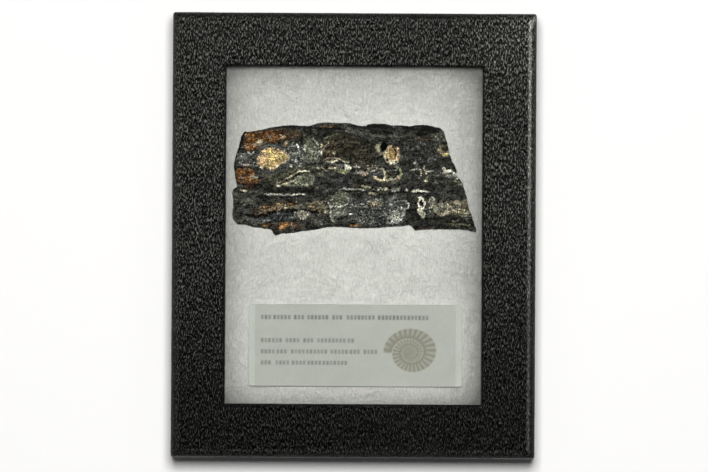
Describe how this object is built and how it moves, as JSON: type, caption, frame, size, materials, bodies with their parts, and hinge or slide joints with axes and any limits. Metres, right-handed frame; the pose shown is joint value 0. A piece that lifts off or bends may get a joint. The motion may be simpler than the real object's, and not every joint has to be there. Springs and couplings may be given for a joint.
{
  "type": "mammoth molar slice in a glass-fronted display case",
  "caption": "Polished slice of fossil mammoth molar pressed into white batting with a label card, in a black lidded specimen case with a glass window",
  "frame": {"origin": "the middle of the case's underside, on the surface it lies on", "axes": "+Z points out of the glass, +Y points to the edge above the specimen, and +X is to the right of a viewer who looks at the glass with +Y up"},
  "size_m": [0.1142, 0.1396, 0.0191],
  "materials": {
    "tray_paper": "plain black paper over card, matt",
    "lid_paper": "black paper over card, embossed with a long leathery grain, satin",
    "glass": "clear, polished",
    "batting": "loose white polyester fibre",
    "fossil": "sawn and polished face, broken natural rim",
    "card": "matt, grey cream"
  },
  "bodies": {
    "root": {"tray": "tray_paper", "lid": "lid_paper", "glass_pane": "glass", "batting": "batting", "molar_slice": "fossil", "label_card": "card"}
  },
  "joints": []
}
